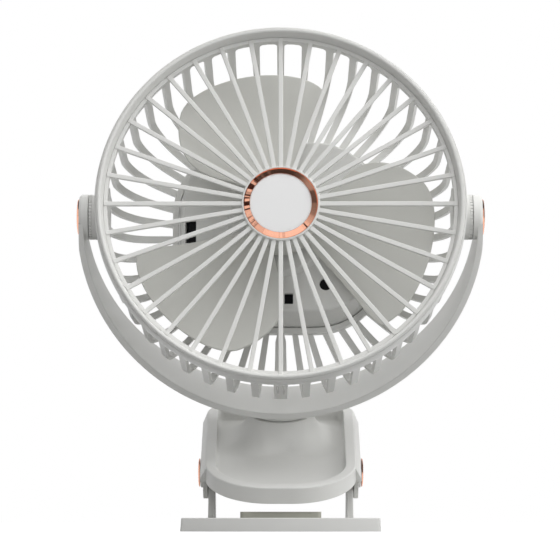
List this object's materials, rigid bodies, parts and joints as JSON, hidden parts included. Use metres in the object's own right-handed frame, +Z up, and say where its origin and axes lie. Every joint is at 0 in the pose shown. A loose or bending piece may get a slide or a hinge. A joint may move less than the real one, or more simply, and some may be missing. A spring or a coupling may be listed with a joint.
{
  "type": "portable camping fan",
  "caption": "Round guarded fan head tilting in a U-shaped yoke that swivels on a sprung clamp with a flat foot; three wide blades, metal accent caps.",
  "frame": {"origin": "on the foot's underside, below the middle of the fan's width, near the middle of the foot's depth", "axes": "+Z up, -Y the way the fan blows, +X to the right seen from the front"},
  "size_m": [0.203, 0.1271, 0.2506],
  "materials": {
    "body": "satin moulded plastic, warm light grey",
    "blade": "satin moulded plastic, light grey",
    "disc": "matt pale grey",
    "button": "satin",
    "rose_metal": "polished rose-gold plating",
    "steel": "zinc-plated",
    "grip_rubber": "matt",
    "dark_plastic": "matt",
    "cell_wrap": "shrink wrap",
    "board": "solder mask",
    "lens": "clear diffuser"
  },
  "bodies": {
    "base": {"foot_plate": "body", "lower_pad": "grip_rubber", "foot_pads": "grip_rubber", "hinge_pin": "steel", "hinge_caps": "rose_metal", "torsion_spring": "steel"},
    "upper_jaw": {"upper_jaw": "body", "upper_pad": "grip_rubber", "swivel_washer": "dark_plastic"},
    "yoke": {"yoke": "body", "swivel_post": "body", "swivel_nut": "steel", "pivot_bolts": "steel", "pivot_caps": "rose_metal"},
    "head": {"trim_ring": "body", "front_grille": "body", "hub_ring": "rose_metal", "hub_disc": "disc", "rear_cage": "body", "pivot_washers": "body", "motor_housing": "body", "rear_cover": "body", "cover_screws": "steel", "motor_can": "steel", "battery_cells": "cell_wrap", "control_board": "board", "charge_socket": "steel", "indicator_lens": "lens"},
    "power_button": {"power_button": "button"},
    "rotor": {"fan_blades": "blade", "motor_shaft": "steel", "blade_nut": "steel"}
  },
  "joints": [
    {"name": "clamp_hinge", "type": "hinge", "parent": "base", "child": "upper_jaw", "pos_m": [0, 0.018, 0.0294], "axis": [-1, 0, 0], "range_deg": [0, 32], "stiffness_Nm_per_rad": 0.8, "springref_deg": -34.38, "deforming": ["torsion_spring"]},
    {"name": "yoke_swivel", "type": "hinge", "parent": "upper_jaw", "child": "yoke", "pos_m": [0, 0.03672, 0.05271], "axis": [0, -0.3987, 0.9171], "continuous": true},
    {"name": "head_tilt", "type": "hinge", "parent": "yoke", "child": "head", "pos_m": [0, -0.0082, 0.15601], "axis": [1, 0, 0], "range_deg": [-110, 110]},
    {"name": "blade_spin", "type": "hinge", "parent": "head", "child": "rotor", "pos_m": [0, -0.0082, 0.15601], "axis": [0, -0.9759, 0.2181], "continuous": true},
    {"name": "button_press", "type": "slide", "parent": "head", "child": "power_button", "axis": [0, -0.9759, 0.2181], "range_m": [0, 0.001], "stiffness_N_per_m": 300, "springref_m": -0.002}
  ]
}
